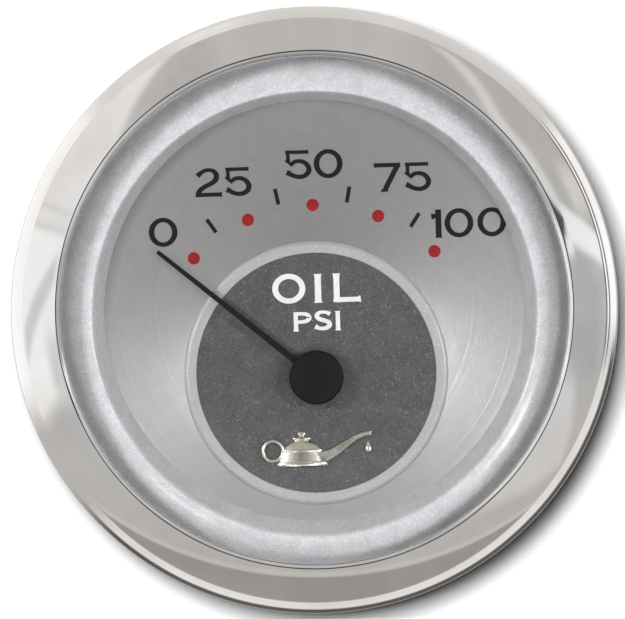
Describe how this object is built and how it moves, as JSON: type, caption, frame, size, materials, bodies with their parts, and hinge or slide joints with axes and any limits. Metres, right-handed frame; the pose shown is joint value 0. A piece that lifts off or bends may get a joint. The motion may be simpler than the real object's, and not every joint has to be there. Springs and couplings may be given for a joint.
{
  "type": "oil pressure gauge",
  "caption": "Round panel-mounted dial gauge with a short-sweep pointer, polished bezel, flat glass, deep can, stud terminals, clamp strap and push-in lamp.",
  "frame": {"origin": "on the gauge axis at the panel seat, which is the rear face of the bezel", "axes": "+Y along the gauge axis away from the reader and into the panel, +Z towards the top of the dial, +X to the reader's right"},
  "size_m": [0.073, 0.0715, 0.073],
  "materials": {
    "polished_stainless": "mirror-polished stainless sheet",
    "flat_glass": "clear flat glass",
    "black_rubber": "matt black rubber",
    "silver_paint": "silver metallic paint with fine sparkle",
    "brushed_dial": "circular-brushed silver",
    "pale_silver": "pale silver, satin",
    "charcoal_paint": "charcoal metallic paint with fine sparkle",
    "nickel_emblem": "plated nickel, polished high spots",
    "zinc_plated_case": "zinc-plated drawn steel",
    "white_moulding": "white diffusing plastic",
    "zinc_steel": "bright zinc plate",
    "ivory_moulding": "natural nylon",
    "enamelled_copper": "enamelled copper wire",
    "shield_steel": "annealed steel",
    "magnet_black": "sintered ferrite",
    "brass": "turned brass",
    "circuit_board": "green glass-fibre board",
    "resistor_tan": "lacquered ceramic",
    "brass_stud": "threaded brass",
    "brown_fibre": "brown phenolic",
    "pointer_black": "satin black paint on aluminium",
    "hub_black": "satin black plastic",
    "bright_steel": "ground steel",
    "clamp_steel": "zinc-plated strip",
    "brass_knurled": "turned and knurled brass",
    "lamp_nickel": "nickel-plated brass tube",
    "bulb_glass": "clear bulb glass"
  },
  "bodies": {
    "gauge_body": {"bezel": "polished_stainless", "lens": "flat_glass", "lens_gasket": "black_rubber", "trim_ring": "silver_paint", "dial_plate": "brushed_dial", "disc_rim": "pale_silver", "centre_disc": "charcoal_paint", "emblem": "nickel_emblem", "case_shell": "zinc_plated_case", "dial_carrier": "white_moulding", "carrier_screws": "zinc_steel", "bobbin_front": "ivory_moulding", "bobbin_rear": "ivory_moulding", "inner_coil": "enamelled_copper", "outer_coil": "enamelled_copper", "shield_can": "shield_steel", "return_magnet": "magnet_black", "spindle_bearings": "brass", "coil_pins": "brass", "circuit_board": "circuit_board", "calibrating_resistor": "resistor_tan", "board_spacers": "ivory_moulding", "movement_screws": "zinc_steel", "sender_stud": "brass_stud", "supply_stud": "brass_stud", "ground_stud": "brass_stud", "terminal_insulators": "brown_fibre", "terminal_washers": "zinc_steel", "terminal_nuts": "zinc_steel", "terminal_outer_nuts": "zinc_steel", "clamp_studs": "zinc_steel", "lamp_grommet": "black_rubber"},
    "indicator": {"pointer": "pointer_black", "hub_cap": "hub_black", "pointer_bush": "brass", "spindle": "bright_steel", "rotor_magnet": "magnet_black"},
    "clamp": {"clamp_bracket": "clamp_steel", "clamp_washers": "zinc_steel"},
    "left_nut": {"left_thumb_nut": "brass_knurled"},
    "right_nut": {"right_thumb_nut": "brass_knurled"},
    "lamp": {"lamp_shell": "lamp_nickel", "lamp_insulator": "brown_fibre", "lamp_contact": "brass", "bulb_base": "brass", "bulb_glass": "bulb_glass"}
  },
  "joints": [
    {"name": "pointer_sweep", "type": "hinge", "parent": "gauge_body", "child": "indicator", "pos_m": [0, 0, -0.0081], "axis": [0, 1, 0], "range_deg": [0, 100], "stiffness_Nm_per_rad": 0.00001, "springref_deg": -5.73},
    {"name": "clamp_slide", "type": "slide", "parent": "gauge_body", "child": "clamp", "axis": [0, 1, 0], "range_m": [-0.0015, 0.014]},
    {"name": "left_nut_spin", "type": "hinge", "parent": "clamp", "child": "left_nut", "pos_m": [-0.018, 0, 0], "axis": [0, 1, 0], "range_deg": [-700, 6360]},
    {"name": "right_nut_spin", "type": "hinge", "parent": "clamp", "child": "right_nut", "pos_m": [0.018, 0, 0], "axis": [0, 1, 0], "range_deg": [-700, 6360]},
    {"name": "lamp_pull", "type": "slide", "parent": "gauge_body", "child": "lamp", "axis": [0, 1, 0], "range_m": [0, 0.024]}
  ],
  "couplings": [
    {"joint": "left_nut_spin", "follows": "clamp_slide", "rad_per_m": 7915.8},
    {"joint": "right_nut_spin", "follows": "clamp_slide", "rad_per_m": 7915.8}
  ]
}
